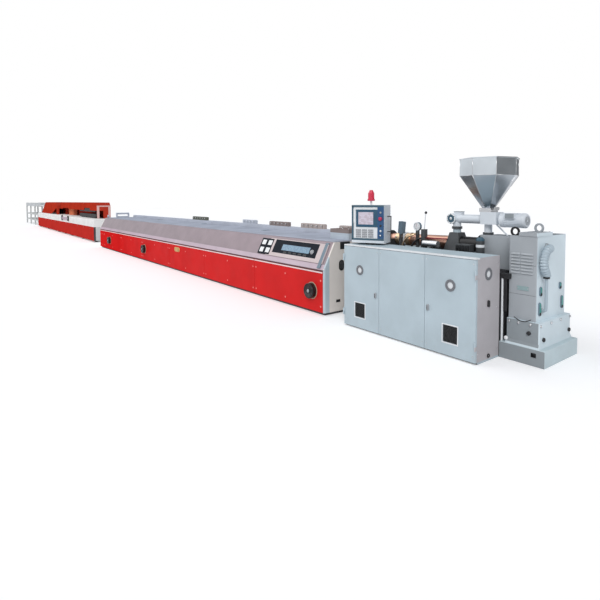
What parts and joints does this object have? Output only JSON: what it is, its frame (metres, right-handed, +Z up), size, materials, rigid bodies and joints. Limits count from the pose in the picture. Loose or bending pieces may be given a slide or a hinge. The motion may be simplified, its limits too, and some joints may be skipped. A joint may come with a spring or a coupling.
{
  "type": "profile extrusion line",
  "caption": "Plastic profile extrusion line: extruder with hopper and control box, long red calibration table, hooded haul-off and cutter, and stacker.",
  "frame": {"origin": "centre of the whole line's footprint, on the floor", "axes": "+X along the line against the flow, towards the extruder's gear tower; -Y out towards the operator; +Z up"},
  "size_m": [39.021, 1.564, 2.033],
  "materials": {
    "dark_frame": "satin",
    "blue_grey_enamel": "satin",
    "galvanised_steel": "satin",
    "nitrided_steel": "satin",
    "tool_steel": "satin",
    "dark_grey_casting": "satin",
    "machine_grey_enamel": "satin",
    "black_steel": "satin",
    "stainless_sheet": "brushed",
    "pale_grey_enamel": "satin",
    "black_rubber": "matte",
    "pale_blue_enamel": "satin",
    "panel_white": "satin",
    "beacon_red": "gloss",
    "warm_grey_enamel": "satin",
    "red_enamel": "satin",
    "blue_grey_deck": "satin",
    "console_black": "satin",
    "grey_brown_enamel": "satin",
    "white_enamel": "satin",
    "light_grey_enamel": "satin"
  },
  "bodies": {
    "line_frame": {"machine_frame": "dark_frame", "front_cabinet": "blue_grey_enamel", "rear_cabinet": "blue_grey_enamel", "front_middle_panel": "blue_grey_enamel", "rear_panels": "blue_grey_enamel", "switch_plates": "galvanised_steel", "barrel": "nitrided_steel", "trough_fittings": "dark_grey_casting", "die_head": "tool_steel", "feed_housing": "dark_grey_casting", "drive_box": "machine_grey_enamel", "gear_tower": "machine_grey_enamel", "tower_foot": "machine_grey_enamel", "tower_pipes": "light_grey_enamel", "hopper": "stainless_sheet", "hopper_throat": "pale_grey_enamel", "screw_feeder": "pale_grey_enamel", "feeder_motor": "pale_grey_enamel", "table_plinth": "dark_frame", "table_housing": "stainless_sheet", "table_end_plates": "warm_grey_enamel", "table_front_panels": "red_enamel", "table_rear_panels": "red_enamel", "table_covers": "black_steel", "table_deck_plates": "blue_grey_deck", "table_console": "console_black", "calibrator": "tool_steel", "table_edge_blocks": "grey_brown_enamel", "exit_rollers": "black_steel", "haul_off_fittings": "dark_frame", "haul_off_base": "red_enamel", "haul_off_deck": "white_enamel", "haul_off_tracks": "black_rubber", "haul_off_hood": "red_enamel", "cutter_hood": "red_enamel", "track_carriers": "dark_frame", "stacker_frame": "light_grey_enamel", "stacker_tray": "galvanised_steel"},
    "left_door": {"left_door": "blue_grey_enamel"},
    "right_door": {"right_door": "blue_grey_enamel"},
    "slide_gate": {"slide_gate": "stainless_sheet"},
    "control_head": {"control_box": "pale_blue_enamel", "control_face": "panel_white", "beacon": "beacon_red"}
  },
  "joints": [
    {"name": "left_door_hinge", "type": "hinge", "parent": "line_frame", "child": "left_door", "pos_m": [17.1245, -0.7695, 0.5], "axis": [0, 0, -1], "range_deg": [0, 110]},
    {"name": "right_door_hinge", "type": "hinge", "parent": "line_frame", "child": "right_door", "pos_m": [19.0395, -0.7695, 0.5], "axis": [0, 0, 1], "range_deg": [0, 110]},
    {"name": "hopper_gate_slide", "type": "slide", "parent": "line_frame", "child": "slide_gate", "axis": [1, 0, 0], "range_m": [0, 0.08]},
    {"name": "control_swivel", "type": "hinge", "parent": "line_frame", "child": "control_head", "pos_m": [17.3575, -0.516, 1.03], "axis": [0, 0, 1], "range_deg": [-60, 40]}
  ]
}
